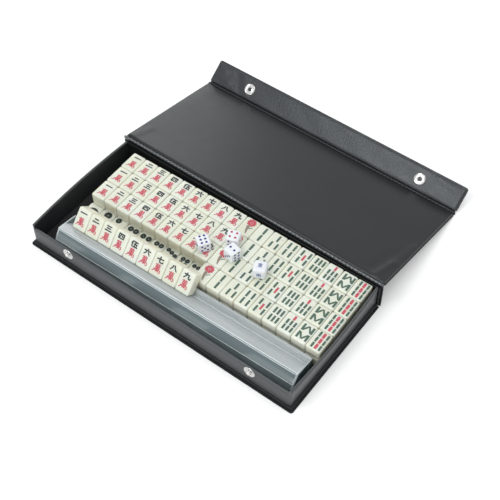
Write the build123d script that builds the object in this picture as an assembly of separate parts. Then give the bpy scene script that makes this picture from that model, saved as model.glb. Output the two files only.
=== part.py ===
from build123d import *
import math
import os

# Travel mahjong case: a vinyl book-bound case lying open, with its tiles, clear rack and dice.
# Millimetres. Origin: centre of the bottom panel's underside. +X right, +Y to the back, +Z up.

os.makedirs("parts", exist_ok=True)

# Vinyl-covered panels
HALF_WIDTH = 149.0  # every panel, from the middle to the cut edge of its weld
SKIN = 0.6  # one vinyl sheet
WELD_RIM = 1.8  # flat welded edge round a board
PAD_ROUND = 0.9  # vinyl rounding over a board's edge
BOTTOM_FRONT = -68.5
BOTTOM_BACK = 65.4
BOTTOM_THICK = 4.0
SPINE_THICK = 3.0
SPINE_HIGH = 28.0
LID_THICK = 3.4
FLAP_THICK = 2.6

# Tray
WALL = 2.4
WALL_FOOT_X = 145.4  # outer face of a side wall at its foot
WALL_TOP = 28.0
WALL_BOW = 2.4  # outward bow of a side wall's top at mid-length
WALL_SKIN = 0.6
FRONT_FACE = -64.9
FRONT_TOP = 23.0
BACK_COVER = 0.7  # strip of vinyl that covers the inside of the spine
LINING = 0.4
FIT = 0.2  # clearance where one piece drops in beside another

# Lid and flap creases
LID_AXIS_Y = 68.0
LID_AXIS_Z = 30.0
LID_SLOPE = 12.3  # degrees down from the crease when lying open
LID_NEAR = 1.7
LID_FAR = 132.8
LID_BEAD = 1.3
CREASE_WEB = 1.2
FLAP_AXIS = 134.5  # from the lid's crease, along the lid
FLAP_RISE = 37.2  # degrees above the table when standing open
FLAP_NEAR = 1.5
FLAP_FAR = 26.5
FLAP_BEAD = 1.2

# Snap fasteners
SNAP_X = 102.5
STUD_HIGH = 17.0
SOCKET_OUT = 13.0  # from the flap's crease
STUD_DISC_R = 5.8
STUD_DISC = 0.6
STUD_KNOB_R = 2.3
STUD_KNOB = 2.2
RIVET_R = 1.2
WASHER_R = 4.0
WASHER = 0.5
SOCKET_R = 5.7
SOCKET_RING = 0.9
SOCKET_HOLE_R = 2.0
BARREL_R = 2.6
CAP_R = 6.0
CAP = 0.6
HOLE_PLAY = 0.1

# Contents: the stack stands slightly turned in the tray, from its back left corner
STACK_X = -128.9
STACK_Y = 58.0
STACK_TURN = 1.1
TILE_PITCH = 15.0
ROW_PITCH = 21.4
TILE_WIDE = 14.75
TILE_LONG = 21.2
TILE_THICK = 11.7
TILE_ROUND = 1.7
TILES_IN_ROW = 9
ROWS = 4
ROWS_BACK = 1.2  # how far the rows reach behind the stack's origin
ROW_SHIFT = (0.1, 0.5, 0.5, 0.3)  # how far each row has slid to the right
LOWER_Z = 4.5
UPPER_Z = 16.3
DICE_Z = 28.1

# Row leaning on the rack: foot of the face, in the stack's frame
LEAN = 47.0
LEAN_START = 10.8
LEAN_PITCH = 14.85
LEAN_FOOT_B = -102.2
LEAN_FOOT_Z = 26.0

# Rack: one thin clear shell
RACK_START = 2.5
RACK_LONG = 264.0
RACK_WALL = 1.2
RACK_OUTLINE = [
    (-119.5, 4.5),
    (-119.5, 13.5),
    (-110.5, 27.3),
    (-102.54, 25.92),
    (-93.62, 17.6),
    (-88.5, 23.1),
    (-88.5, 4.5),
]
RACK_VALLEY = 4  # place of the groove's lowest point in the outline

# Dice
DIE = 12.0
DIE_ROUND = 1.5
WIND_DIE = 12.5
WIND_ROUND = 2.4
PIP_R = 1.15
PIP_DEEP = 0.4
PIP_STEP = 2.6

# Pips on a face, in steps from its centre
PIPS = {
    1: [(0, 0)],
    2: [(-1, 0), (1, 0)],
    3: [(-1, -1), (0, 0), (1, 1)],
    4: [(-1, -1), (-1, 1), (1, -1), (1, 1)],
    5: [(-1, -1), (-1, 1), (0, 0), (1, -1), (1, 1)],
    6: [(-1.5, -0.8), (0, -0.8), (1.5, -0.8), (-1.5, 0.8), (0, 0.8), (1.5, 0.8)],
}


def block(x, y, z):
    """Box between pairs of limits on each axis."""
    size = (x[1] - x[0], y[1] - y[0], z[1] - z[0])
    middle = ((x[0] + x[1]) / 2, (y[0] + y[1]) / 2, (z[0] + z[1]) / 2)
    return Pos(*middle) * Box(*size)


def panel(near, far, thick, near_rim, far_rim):
    """Outer skin, board and padded inner skin of a welded panel.

    It lies in XY with its crease edge at y = near, its outer skin at z = 0.
    """
    full_x = (-HALF_WIDTH, HALF_WIDTH)
    pad_x = (-HALF_WIDTH + WELD_RIM, HALF_WIDTH - WELD_RIM)
    pad_y = (near + near_rim, far - far_rim)
    board_x = (pad_x[0] + SKIN, pad_x[1] - SKIN)
    board_y = (pad_y[0] + SKIN, pad_y[1] - SKIN)
    outer = block(full_x, (near, far), (0, SKIN))
    board = block(board_x, board_y, (SKIN, thick - SKIN))
    pad = block(pad_x, pad_y, (SKIN, thick))
    pad = fillet(pad.faces().sort_by(Axis.Z)[-1].edges(), PAD_ROUND)
    inner = block(full_x, (near, far), (SKIN, 2 * SKIN)) + pad - board
    return {"outer_skin": outer, "board": board, "inner_skin": inner}


def crease(web_low, web_high, web_y, bead_r):
    """Vinyl crease: a bead round the axis on a web that comes from one panel."""
    bead = Rot(0, 90, 0) * Cylinder(bead_r, 2 * HALF_WIDTH)
    return bead + block((-HALF_WIDTH, HALF_WIDTH), web_y, (web_low, web_high))


def bowed_slab(foot, top_out, y, z, width):
    """Upright slab whose foot is straight and whose top bows outward to top_out."""
    low = Plane.XY.offset(z[0])
    high = Plane.XY.offset(z[1])
    middle = (y[0] + y[1]) / 2
    sections = []
    for plane, bow in ((low, 0.001), (high, top_out)):
        outside = ThreePointArc((foot, y[0]), (foot + bow, middle), (foot, y[1]))
        inside = ThreePointArc((foot - width, y[1]), (foot - width + bow, middle), (foot - width, y[0]))
        ends = [Line(outside @ 1, inside @ 0), Line(inside @ 1, outside @ 0)]
        sections.append(plane * make_face([outside, inside] + ends))
    return loft(sections, ruled=True)


def side_wall():
    """Right wall of the tray: a bowed board and the vinyl wrapped over it."""
    y = (FRONT_FACE, BOTTOM_BACK)
    board_top = WALL_TOP - WALL_SKIN
    board_bow = WALL_BOW * (board_top - BOTTOM_THICK) / (WALL_TOP - BOTTOM_THICK)
    whole = bowed_slab(WALL_FOOT_X, WALL_BOW, y, (BOTTOM_THICK, WALL_TOP), WALL)
    board_y = (y[0] + WALL_SKIN, y[1] - WALL_SKIN)
    board_wide = WALL - 2 * WALL_SKIN
    board = bowed_slab(
        WALL_FOOT_X - WALL_SKIN, board_bow, board_y, (BOTTOM_THICK, board_top), board_wide
    )
    return {"board": board, "cover": whole - board}


def straight_wall(y, top):
    """Front wall of the tray, between the side walls."""
    reach = WALL_FOOT_X - WALL
    board_y = (y[0] + WALL_SKIN, y[1] - WALL_SKIN)
    board = block((-reach, reach), board_y, (BOTTOM_THICK, top - WALL_SKIN))
    cover = block((-reach, reach), y, (BOTTOM_THICK, top)) - board
    return {"board": board, "cover": cover}


def at_snaps(shape):
    """The same fastener on the left and on the right."""
    return [Pos(side * SNAP_X, 0, 0) * shape for side in (-1, 1)]


def front_hole():
    """Rivet hole through the front wall, at the middle of the case."""
    return Pos(0, FRONT_FACE, STUD_HIGH) * Rot(90, 0, 0) * Cylinder(RIVET_R + HOLE_PLAY, 3 * WALL)


def stud():
    """Snap stud: disc, domed knob and the rivet that goes through the wall."""
    disc = Cylinder(STUD_DISC_R, STUD_DISC, align=(Align.CENTER, Align.CENTER, Align.MIN))
    disc = fillet(disc.edges().sort_by(Axis.Z)[-1], STUD_DISC / 2)
    knob = Pos(0, 0, STUD_DISC) * Cylinder(
        STUD_KNOB_R, STUD_KNOB, align=(Align.CENTER, Align.CENTER, Align.MIN)
    )
    knob = fillet(knob.edges().sort_by(Axis.Z)[-1], STUD_KNOB_R / 2)
    rivet = Cylinder(RIVET_R, WALL + WASHER, align=(Align.CENTER, Align.CENTER, Align.MAX))
    return Pos(0, FRONT_FACE, STUD_HIGH) * Rot(90, 0, 0) * (disc + knob + rivet)


def washer():
    """Washer on the inside of the front wall, round the rivet's end."""
    ring = Cylinder(WASHER_R, WASHER) - Cylinder(RIVET_R + HOLE_PLAY, 3 * WASHER)
    middle = FRONT_FACE + WALL + WASHER / 2
    return Pos(0, middle, STUD_HIGH) * Rot(90, 0, 0) * ring


def socket():
    """Snap socket: a ring on the flap's inner face and its barrel through the flap."""
    ring = Pos(0, 0, FLAP_THICK) * Cylinder(
        SOCKET_R, SOCKET_RING, align=(Align.CENTER, Align.CENTER, Align.MIN)
    )
    ring = fillet(ring.edges().sort_by(Axis.Z)[-1], SOCKET_RING / 2)
    barrel = Cylinder(BARREL_R, FLAP_THICK, align=(Align.CENTER, Align.CENTER, Align.MIN))
    hole = Cylinder(SOCKET_HOLE_R, 4 * FLAP_THICK)
    return Pos(0, SOCKET_OUT, 0) * (ring + barrel - hole)


def cap():
    """Domed cap on the outside of the flap, behind the socket."""
    disc = Cylinder(CAP_R, CAP, align=(Align.CENTER, Align.CENTER, Align.MAX))
    disc = fillet(disc.edges().sort_by(Axis.Z)[0], CAP / 2)
    return Pos(0, SOCKET_OUT, 0) * disc


def tile():
    """One tile, lying on its back with its lower left corner at the origin."""
    body = Box(TILE_WIDE, TILE_LONG, TILE_THICK, align=(Align.MIN, Align.MIN, Align.MIN))
    return fillet(body.edges(), TILE_ROUND)


def in_stack(shape):
    """Move a shape from the stack's frame into the case."""
    return Pos(STACK_X, STACK_Y, 0) * Rot(0, 0, STACK_TURN) * shape


def tile_row(first_column, row, low):
    """Nine tiles side by side in one row of a layer."""
    front = ROWS_BACK - (row + 1) * ROW_PITCH + (ROW_PITCH - TILE_LONG) / 2
    columns = range(first_column, first_column + TILES_IN_ROW)
    places = [Pos(column * TILE_PITCH + ROW_SHIFT[row], front, low) for column in columns]
    return [in_stack(place * tile()) for place in places]


def leaning_row():
    """Nine tiles leaning back on the rack, face to the front."""
    tilt = Pos(0, LEAN_FOOT_B, LEAN_FOOT_Z) * Rot(LEAN, 0, 0) * Pos(0, 0, -TILE_THICK)
    places = [LEAN_START + place * LEAN_PITCH for place in range(TILES_IN_ROW)]
    return [in_stack(Pos(place, 0, 0) * tilt * tile()) for place in places]


def rack_profile(points):
    """Face in the stack's YZ plane from a list of corners."""
    return Plane.YZ * make_face(Polyline(*points, close=True))


def inner_corners():
    """The rack's outline moved in by its wall, open at the foot."""
    count = len(RACK_OUTLINE)
    corners = []
    for place in range(count):
        here = Vector(*RACK_OUTLINE[place])
        before = (here - Vector(*RACK_OUTLINE[place - 1])).normalized()
        after = (Vector(*RACK_OUTLINE[(place + 1) % count]) - here).normalized()
        inward_before = Vector(before.Y, -before.X)
        inward_after = Vector(after.Y, -after.X)
        mitre = (inward_before + inward_after).normalized()
        reach = RACK_WALL / mitre.dot(inward_before)
        corners.append(here + mitre * reach)
    first, last = corners[0], corners[-1]
    corners[0] = Vector(first.X, RACK_OUTLINE[0][1] - RACK_WALL)
    corners[-1] = Vector(last.X, RACK_OUTLINE[-1][1] - RACK_WALL)
    return [(corner.X, corner.Y) for corner in corners]


def rack():
    """Clear rack: a folded shell, open underneath, with a plate closing each end."""
    shell = extrude(rack_profile(RACK_OUTLINE), RACK_LONG)
    hollow = Pos(RACK_WALL, 0, 0) * extrude(rack_profile(inner_corners()), RACK_LONG - 2 * RACK_WALL)
    plate_corners = RACK_OUTLINE[:RACK_VALLEY] + RACK_OUTLINE[RACK_VALLEY + 1 :]
    plate = extrude(rack_profile(plate_corners), RACK_WALL)
    plates = plate + Pos(RACK_LONG - RACK_WALL, 0, 0) * plate
    return in_stack(Pos(RACK_START, 0, 0) * (shell - hollow + plates))


def pip_cutters(top, front, right):
    """Shallow ball cutters for the pips of a die with these faces."""
    faces = {
        top: Rot(0, 0, 0),
        7 - top: Rot(180, 0, 0),
        front: Rot(90, 0, 0),
        7 - front: Rot(-90, 0, 0),
        right: Rot(0, 90, 0),
        7 - right: Rot(0, -90, 0),
    }
    ball_r = (PIP_R**2 + PIP_DEEP**2) / (2 * PIP_DEEP)
    ball = Pos(0, 0, DIE / 2 - PIP_DEEP + ball_r) * Sphere(ball_r)
    cutters = []
    for number, turn in faces.items():
        for step_a, step_b in PIPS[number]:
            cutters.append(turn * Pos(step_a * PIP_STEP, step_b * PIP_STEP, 0) * ball)
    return cutters


def pip_die(x, y, turn, top, front, right):
    """Die with sunk pips, standing on the upper tiles."""
    body = fillet(Box(DIE, DIE, DIE).edges(), DIE_ROUND)
    for cutter in pip_cutters(top, front, right):
        body -= cutter
    return Pos(x, y, DICE_Z + DIE / 2) * Rot(0, 0, turn) * body


def wind_die(x, y, turn):
    """Well rounded die that shows the prevailing wind."""
    body = fillet(Box(WIND_DIE, WIND_DIE, WIND_DIE).edges(), WIND_ROUND)
    return Pos(x, y, DICE_Z + WIND_DIE / 2) * Rot(0, 0, turn) * body


def write(name, shapes):
    """One node: its solids as a STEP file."""
    shapes = shapes if isinstance(shapes, list) else [shapes]
    solids = []
    for shape in shapes:
        solids.extend(shape.solids())
    node = Compound(label=name, children=solids) if len(solids) > 1 else solids[0]
    export_step(node, os.path.join("parts", name + ".step"))


def write_panel(name, pieces, place, holes):
    """Three nodes of a welded panel, put in place with its fastener holes."""
    for part_name, shape in pieces.items():
        for hole in holes:
            shape = shape - hole
        write(name + "_" + part_name, place * shape)


# Bottom panel and spine: the bottom lies on the table, the spine stands on its back edge
write_panel("bottom", panel(BOTTOM_FRONT, BOTTOM_BACK, BOTTOM_THICK, WELD_RIM, 0), Pos(0, 0, 0), [])
SPINE_PLACE = Pos(0, BOTTOM_BACK + SPINE_THICK, 0) * Rot(90, 0, 0)
write_panel("spine", panel(0, SPINE_HIGH, SPINE_THICK, 0, WELD_RIM), SPINE_PLACE, [])

# Crease on the spine's top edge, round the lid's axis
LID_AXIS = Pos(0, LID_AXIS_Y, LID_AXIS_Z)
write("lid_crease", LID_AXIS * crease(SPINE_HIGH - LID_AXIS_Z, 0, (-0.8, 0.4), LID_BEAD))

# Lid, lying open with its inner face up
LID_PLACE = LID_AXIS * Rot(-LID_SLOPE, 0, 0)
LID_PANEL = panel(LID_NEAR, LID_FAR, LID_THICK, WELD_RIM, WELD_RIM)
write_panel("lid", LID_PANEL, LID_PLACE * Pos(0, 0, -LID_THICK / 2), [])

# Crease on the lid's far edge, round the flap's axis
FLAP_CREASE = crease(-CREASE_WEB, 0, (LID_FAR - FLAP_AXIS, 0), FLAP_BEAD)
write("flap_crease", LID_PLACE * Pos(0, FLAP_AXIS, 0) * FLAP_CREASE)

# Flap, standing up from the lid's far edge with its sockets to the front
SLOPE = math.radians(LID_SLOPE)
FLAP_Y = LID_AXIS_Y + FLAP_AXIS * math.cos(SLOPE)
FLAP_Z = LID_AXIS_Z - FLAP_AXIS * math.sin(SLOPE)
FLAP_PLACE = Pos(0, FLAP_Y, FLAP_Z) * Rot(FLAP_RISE, 0, 0) * Pos(0, 0, -FLAP_THICK / 2)
BARREL_HOLE = Pos(0, SOCKET_OUT, 0) * Cylinder(BARREL_R + HOLE_PLAY, 4 * FLAP_THICK)
FLAP_PANEL = panel(FLAP_NEAR, FLAP_FAR, FLAP_THICK, WELD_RIM, WELD_RIM)
write_panel("flap", FLAP_PANEL, FLAP_PLACE, at_snaps(BARREL_HOLE))
write("snap_sockets", [FLAP_PLACE * shape for shape in at_snaps(socket())])
write("snap_caps", [FLAP_PLACE * shape for shape in at_snaps(cap())])

# Tray walls, glued on the bottom panel, and the lining between them
for part_name, shape in side_wall().items():
    write("tray_right_" + part_name, shape)
    write("tray_left_" + part_name, mirror(shape, Plane.YZ))
BACK_Y = (BOTTOM_BACK - BACK_COVER, BOTTOM_BACK)
BACK_X = WALL_FOOT_X - WALL
write("tray_back_cover", block((-BACK_X, BACK_X), BACK_Y, (BOTTOM_THICK, WALL_TOP)))
for part_name, shape in straight_wall((FRONT_FACE, FRONT_FACE + WALL), FRONT_TOP).items():
    for hole in at_snaps(front_hole()):
        shape = shape - hole
    write("tray_front_" + part_name, shape)
LINING_X = WALL_FOOT_X - WALL - FIT
LINING_Y = (FRONT_FACE + WALL + FIT, BOTTOM_BACK - BACK_COVER - FIT)
LINING_Z = (BOTTOM_THICK, BOTTOM_THICK + LINING)
write("tray_lining", block((-LINING_X, LINING_X), LINING_Y, LINING_Z))
write("snap_studs", at_snaps(stud()))
write("stud_washers", at_snaps(washer()))

# Two layers of tiles, four rows deep; the fourth row of characters leans on the rack
for row in range(ROWS):
    number = str(row + 1)
    write("circle_row_" + number, tile_row(0, row, LOWER_Z))
    write("honour_row_" + number, tile_row(TILES_IN_ROW, row, LOWER_Z))
    write("bamboo_row_" + number, tile_row(TILES_IN_ROW, row, UPPER_Z))
    if row < ROWS - 1:
        write("character_row_" + number, tile_row(0, row, UPPER_Z))
write("leaning_row", leaning_row())

# Rack along the front, and the dice on top of the tiles
write("rack", rack())
write("die_six_up", pip_die(-3.9, 8.2, -35, 6, 3, 5))
write("die_four_up", pip_die(14.7, 28.4, 17, 4, 5, 1))
write("die_two_up", pip_die(23.4, 15.6, -13.5, 2, 3, 6))
write("wind_die", wind_die(54.2, 15.2, 23.5))
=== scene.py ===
import random
from math import atan2, copysign, cos, exp, pi, radians, sin, sqrt

import bmesh
import bpy
from mathutils import Matrix, Vector


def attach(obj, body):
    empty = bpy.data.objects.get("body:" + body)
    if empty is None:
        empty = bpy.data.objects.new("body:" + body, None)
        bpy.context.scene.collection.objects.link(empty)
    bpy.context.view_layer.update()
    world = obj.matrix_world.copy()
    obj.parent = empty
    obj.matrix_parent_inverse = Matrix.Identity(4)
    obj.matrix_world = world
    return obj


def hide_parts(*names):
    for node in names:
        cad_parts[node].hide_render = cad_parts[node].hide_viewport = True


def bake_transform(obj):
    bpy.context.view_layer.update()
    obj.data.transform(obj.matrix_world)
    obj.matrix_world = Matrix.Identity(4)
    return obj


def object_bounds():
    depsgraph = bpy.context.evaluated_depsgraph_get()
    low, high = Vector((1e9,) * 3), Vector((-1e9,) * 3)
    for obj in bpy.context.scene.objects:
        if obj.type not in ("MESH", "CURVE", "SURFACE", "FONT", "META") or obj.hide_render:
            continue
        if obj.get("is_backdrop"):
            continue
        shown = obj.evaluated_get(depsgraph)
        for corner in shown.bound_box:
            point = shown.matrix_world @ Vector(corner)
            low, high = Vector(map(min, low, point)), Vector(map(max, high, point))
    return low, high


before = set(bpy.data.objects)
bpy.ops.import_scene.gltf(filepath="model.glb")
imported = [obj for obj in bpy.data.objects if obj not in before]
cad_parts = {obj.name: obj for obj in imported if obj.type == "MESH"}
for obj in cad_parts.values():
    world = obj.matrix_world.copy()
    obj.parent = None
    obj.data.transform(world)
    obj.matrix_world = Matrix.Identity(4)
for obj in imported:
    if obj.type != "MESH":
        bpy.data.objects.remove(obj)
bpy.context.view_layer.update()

# Grey board: the stiff core of every panel and wall, die-cut from pressed recycled paper. It lies
# sealed between the vinyl sheets, so it keeps the frame's own solids and only gets its finish.


def linear(code):
    """Linear colour of an sRGB hex code."""
    parts = [int(code[at : at + 2], 16) / 255 for at in (1, 3, 5)]
    return [c / 12.92 if c <= 0.04045 else ((c + 0.055) / 1.055) ** 2.4 for c in parts] + [1]


def wire(tree, node, sockets):
    """Give a node's sockets a value or another node's output."""
    for name, value in sockets.items():
        if isinstance(value, bpy.types.NodeSocket):
            tree.links.new(value, node.inputs[name])
        else:
            node.inputs[name].default_value = value


def add(tree, kind, sockets=None, **settings):
    """Add a shader node with its own settings and its sockets wired."""
    node = tree.nodes.new("ShaderNode" + kind)
    for name, value in settings.items():
        setattr(node, name, value)
    wire(tree, node, sockets or {})
    return node


def noise(tree, at, scale, detail):
    """Cloudy texture with scale blotches to a metre."""
    return add(tree, "TexNoise", {"Vector": at, "Scale": scale, "Detail": detail}).outputs["Fac"]


def tinted(tree, amount, first, second, way="MIX"):
    """Colour from first to second by amount, each an sRGB hex code or another node's output."""
    first, second = [linear(c) if isinstance(c, str) else c for c in (first, second)]
    mix = add(tree, "Mix", {0: amount, 6: first, 7: second}, data_type="RGBA", blend_type=way)
    return mix.outputs[2]


def spread(tree, amount, low, high, start=0.3, end=0.7):
    """The middle of a texture's range, stretched to go from low to high."""
    return add(tree, "MapRange", {"Value": amount, "From Min": start, "From Max": end,
                                  "To Min": low, "To Max": high}).outputs[0]


def relief(tree, height, strength, deep=1e-4):
    """Surface relief that is deep metres high at full strength."""
    return add(tree, "Bump", {"Height": height, "Strength": strength, "Distance": deep}).outputs[0]


def start_finish(name):
    """A new material with its tree, its shader and the piece's own coordinates in metres."""
    made = bpy.data.materials.new(name)
    made.use_nodes = True
    tree = made.node_tree
    tree.nodes.clear()
    shader = add(tree, "BsdfPrincipled")
    add(tree, "OutputMaterial", {"Surface": shader.outputs[0]})
    return made, tree, shader, add(tree, "TexCoord").outputs["Object"]


def give(solid, finish):
    """Put a finish on one of the frame's own solids."""
    for place in solid.material_slots:
        place.material = finish


# Pressed paper pulp, dull and flecked: fibres about 1.5 mm long give it mottled grey-brown specks.
grey_board, tree, shader, own = start_finish("pressed_grey_board")
fibres = noise(tree, own, 1 / 0.0015, 6.0)
wire(tree, shader, {"Base Color": tinted(tree, fibres, "#8f877a", "#6f675b"), "Roughness": 0.92,
                    "Normal": relief(tree, fibres, 0.4)})
for name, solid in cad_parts.items():
    if name.endswith("_board"):
        give(solid, grey_board)

# Bottom panel and spine: an outer and an inner sheet of black vinyl welded together round the
# board by a hot tool, which leaves a flat pressed rim with the padded board standing above it.
MM = 0.001
HALF_WIDTH = 149.0
SKIN = 0.6
CORNER = 2.5  # cut corner of the sheets
DIP = 28  # how far in from its far edge the lid's padding thins
PANEL_STEP = 2.2  # between grid lines over the padding
RIM = 1.8  # width of the welded rim
BOARD_EDGE = 2.4  # from the sheet's edge to the board's
RIM_STEPS = (0, 0.2, 0.5, 0.9, 1.3, 1.6, 1.8, 1.9, 2.05, 2.3, 2.42, 2.8, 3.4, 4.2, 5.2, 6.6)
PAD_RISE = ((RIM, 0), (1.9, 0.5), (2.05, 0.74), (2.3, 0.87), (2.42, 0.92), (2.8, 0.96),
            (3.4, 0.985), (5.2, 1))


def vinyl(name, dark, light, roughness, pebble, emboss, shine):
    """Calendered soft vinyl: black, satin, embossed with a leather grain pebble metres wide."""
    made, tree, shader, own = start_finish(name)
    cells = add(tree, "TexVoronoi", {"Vector": own, "Scale": 1 / pebble, "Randomness": 1.0})
    grain = add(tree, "Math", {0: cells.outputs["Distance"], 1: noise(tree, own, 0.6 / pebble, 4.0)},
                operation="ADD")
    rubbed = noise(tree, own, 1 / 0.009, 5.0)
    wire(tree, shader, {
        "Base Color": tinted(tree, noise(tree, own, 1 / 0.035, 3.0), dark, light),
        "Roughness": spread(tree, rubbed, roughness - 0.02, roughness + 0.02),
        "Normal": relief(tree, grain.outputs[0], emboss, 2e-4),
        "IOR": 1.53, "Specular IOR Level": shine, "Specular Tint": (0.93, 0.99, 1.0, 1),
    })
    return made


def spun(degrees, axis):
    """Turn about an axis."""
    return Matrix.Rotation(radians(degrees), 4, axis)


def put(name, data):
    """A new object in the scene from its mesh, lamp or lens."""
    made = bpy.data.objects.new(name, data)
    bpy.context.scene.collection.objects.link(made)
    return made


def build(name, points, faces, finishes, sharp=35):
    """A piece from points in millimetres and (corners, finish number) faces."""
    mesh = bpy.data.meshes.new(name)
    mesh.from_pydata([Vector(p) * MM for p in points], [], [corners for corners, _ in faces])
    for finish in finishes:
        mesh.materials.append(finish)
    mesh.polygons.foreach_set("material_index", [number for _, number in faces])
    shaped = bmesh.new()
    shaped.from_mesh(mesh)
    bmesh.ops.recalc_face_normals(shaped, faces=shaped.faces)
    shaped.to_mesh(mesh)
    shaped.free()
    mesh.shade_smooth()
    mesh.set_sharp_from_angle(angle=radians(sharp))
    return put(name, mesh)


def side_stops(low, high, low_rim, high_rim):
    """Grid lines across a panel: close together over a welded rim and even between."""
    first = [low + s for s in RIM_STEPS] if low_rim else [low]
    last = [high - s for s in reversed(RIM_STEPS)] if high_rim else [high]
    count = max(1, round((last[0] - first[-1]) / PANEL_STEP))
    middle = [first[-1] + (last[0] - first[-1]) * k / count for k in range(1, count)]
    return first + middle + last


def pad_share(from_edge):
    """How far the padded face has risen above the flat rim, from 0 to 1."""
    if from_edge <= RIM:
        return 0
    for (a, low), (b, high) in zip(PAD_RISE, PAD_RISE[1:]):
        if from_edge < b:
            return low + (high - low) * (from_edge - a) / (b - a)
    return 1


def rolled_share(from_edge):
    """The same beside a hinge, where the sheet rolls down over the board without a flat rim."""
    return sqrt(1 - max(0, 1 - from_edge / 3.5) ** 2)


def dipped_share(from_edge):
    """The same at the lid's far side, where the sheet dips slowly towards the flap's crease."""
    if from_edge < BOARD_EDGE:
        return 0.45 + 0.38 * sin(pi / 2 * from_edge / BOARD_EDGE)
    return 1 - 0.205 * max(0, 1 - from_edge / DIP) ** 2


def rounded(x, y, near, far, near_rim, far_rim):
    """Bring a point near a square corner in to the sheet's rounded corner."""
    a = HALF_WIDTH - abs(x)
    for edge, inward, rim in ((near, 1, near_rim), (far, -1, far_rim)):
        b = (y - edge) * inward
        if rim and a < CORNER and b < CORNER:
            p, q = 1 - a / CORNER, 1 - b / CORNER
            out_x = p * sqrt(1 - q * q / 2)
            out_y = q * sqrt(1 - p * p / 2)
            x = copysign(HALF_WIDTH - CORNER + CORNER * out_x, x)
            return x, edge + inward * CORNER * (1 - out_y)
    return x, y


def welded_panel(name, near, far, thick, near_rim, far_rim, place, finishes, loose=None,
                 near_share=pad_share, far_share=pad_share, side_rim=RIM):
    """Outer and inner sheet of one panel, lying in XY with its outer face at z = 0."""
    xs = side_stops(-HALF_WIDTH, HALF_WIDTH, True, True)
    ys = side_stops(near, far, near_rim, far_rim)
    layers = {"outer_low": [], "outer_high": [], "inner_low": [], "inner_high": []}
    for y in ys:
        for x in xs:
            gaps = [HALF_WIDTH - abs(x)]
            shares = [pad_share(gaps[0] + RIM - side_rim)]
            for gap, has_rim, share_at in ((y - near, near_rim, near_share),
                                           (far - y, far_rim, far_share)):
                if has_rim:
                    gaps.append(gap)
                    shares.append(share_at(gap))
            edge, share = min(gaps), min(shares)
            soft = max(0, 1 - edge / 0.5) ** 2  # rounding of the cut edge
            pressed = 0.12 * exp(-(((edge - side_rim / 2) / 0.4) ** 2)) * (1 - share)
            lift = loose(x, y) * min(1, edge / 3) if loose else 0
            heights = {
                "outer_low": 0.25 * soft + pressed,
                "outer_high": SKIN,
                "inner_low": SKIN if edge < BOARD_EDGE else thick - SKIN,
                "inner_high": 2 * SKIN - 0.25 * soft - pressed
                + (thick - 2 * SKIN) * share + lift,
            }
            at_x, at_y = rounded(x, y, near, far, near_rim, far_rim)
            for layer, height in heights.items():
                layers[layer].append(place @ Vector((at_x, at_y, height)))
    wide, high = len(xs), len(ys)
    pieces = []
    for part, finish in zip(("outer", "inner"), finishes):
        points = layers[part + "_low"] + layers[part + "_high"]
        faces = []
        for level in (0, wide * high):
            for j in range(high - 1):
                for i in range(wide - 1):
                    at = level + j * wide + i
                    faces.append(((at, at + 1, at + wide + 1, at + wide), 0))
        rim = list(range(wide))
        rim += [j * wide + wide - 1 for j in range(1, high)]
        rim += [(high - 1) * wide + i for i in range(wide - 2, -1, -1)]
        rim += [j * wide for j in range(high - 2, 0, -1)]
        for at, after in zip(rim, rim[1:] + rim[:1]):
            faces.append(((at, after, after + wide * high, at + wide * high), 0))
        pieces.append(build(name + "_" + part + "_sheet", points, faces, [finish]))
    return pieces


# Black soft vinyl as it comes off the rollers: satin, with a fine leather grain, drawn at 1.4 mm
# because the real 0.7 mm grain would not show.
outer_vinyl = vinyl("calendered_vinyl_outside", "#101112", "#151617", 0.46, 0.0014, 0.22, 0.25)
SPINE_OUT = 68.4
UPRIGHT = Matrix.Translation((0, SPINE_OUT, 0)) @ spun(90, "X")
for name, sizes, place in (
    ("bottom", (-68.5, 65.4, 4.0, True, False), Matrix.Identity(4)),
    ("spine", (0, 28.0, 3.0, False, True), UPRIGHT),
):
    outer, inner = welded_panel(name, *sizes, place, (outer_vinyl, outer_vinyl))
    for piece, part in ((outer, "_outer_skin"), (inner, "_inner_skin")):
        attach(piece, "case")
        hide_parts(name + part)

# Tray walls: thin board wrapped in the same vinyl, glued upright on the bottom panel, and at the back
# only a strip of vinyl on the spine. A welded line runs just under the top edge, and the long free
# top of a side wall bows out a little.
WALL = 2.4
WALL_FOOT = 4.0
BACK_STRIP = 0.7  # thickness of the vinyl strip on the spine
SIDE_TOP = 28.0
FRONT_TOP = 23.0
SIDE_OUT = 145.4
SIDE_BOW = 2.4
FRONT_FACE = -64.9
BACK_FACE = 65.4


def wall_section(top, wide):
    """(inward, up) outline of a wrapped wall, from the outer foot over the top to the inner foot."""
    outline = [(0, WALL_FOOT), (0, WALL_FOOT + 0.8), (0, (WALL_FOOT + top) / 2), (0, top - 3.4)]
    outline += [(0.05, top - 2.9), (0.3, top - 2.6), (0.34, top - 2.4), (0.3, top - 2.2)]
    outline += [(0.05, top - 1.9), (0, top - 1.5)]
    centre, r = wide / 2, wide / 2
    for k in range(9):
        turn = pi * k / 8
        outline.append((centre - r * cos(turn), top - 0.75 * r + 0.75 * r * sin(turn)))
    outline += [(wide, top - 1.7), (wide, (WALL_FOOT + top) / 2), (wide, WALL_FOOT)]
    return outline


def lofted(name, rings, finishes, sharp=35):
    """A closed skin through rings of points, with a flat face closing each end."""
    count = len(rings[0])
    points = [point for ring in rings for point in ring]
    faces = []
    for j in range(len(rings) - 1):
        for i in range(count):
            at, after = j * count + i, j * count + (i + 1) % count
            faces.append(((at, after, after + count, at + count), 0))
    faces.append((tuple(range(count)), 0))
    faces.append((tuple(range((len(rings) - 1) * count, len(rings) * count)), 0))
    return build(name, points, faces, finishes, sharp)


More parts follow.
